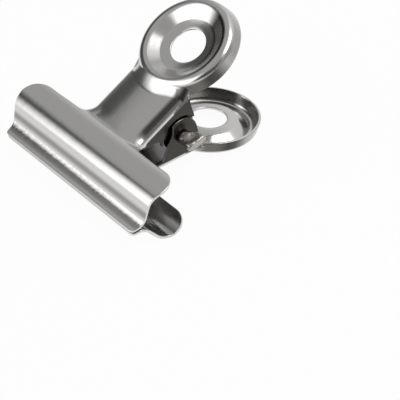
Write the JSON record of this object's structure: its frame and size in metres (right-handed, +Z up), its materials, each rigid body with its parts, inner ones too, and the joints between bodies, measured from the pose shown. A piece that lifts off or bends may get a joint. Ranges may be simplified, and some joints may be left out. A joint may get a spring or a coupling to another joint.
{
  "type": "bulldog clip",
  "caption": "Sprung steel paper clip: two pressed levers with wide ribbed jaws, narrow necks and dished finger rings, hinged on a pin and held shut by a torsion spring.",
  "frame": {"origin": "centre of the bottom of the object's box: the clip lies on its back lever, whose jaw and ring touch the ground", "axes": "+X along the jaws' width, +Y from the jaws towards the finger rings, +Z up towards the front lever"},
  "size_m": [0.063, 0.0664, 0.0415],
  "materials": {
    "plated_sheet": "bright nickel plate over pressed steel, lightly rippled in the bends",
    "plated_pin": "nickel plate, pinched ends slightly dull",
    "spring_wire": "drawn spring steel with a light oil film"
  },
  "bodies": {
    "back": {"back_lever": "plated_sheet", "hinge_pin": "plated_pin", "torsion_spring": "spring_wire"},
    "front": {"front_lever": "plated_sheet"}
  },
  "joints": [
    {"name": "jaw_hinge", "type": "hinge", "parent": "back", "child": "front", "pos_m": [0, -0.00096, 0.01274], "axis": [-1, 0, 0], "range_deg": [0, 50], "stiffness_Nm_per_rad": 0.6, "springref_deg": -57.3, "deforming": ["torsion_spring"]}
  ]
}
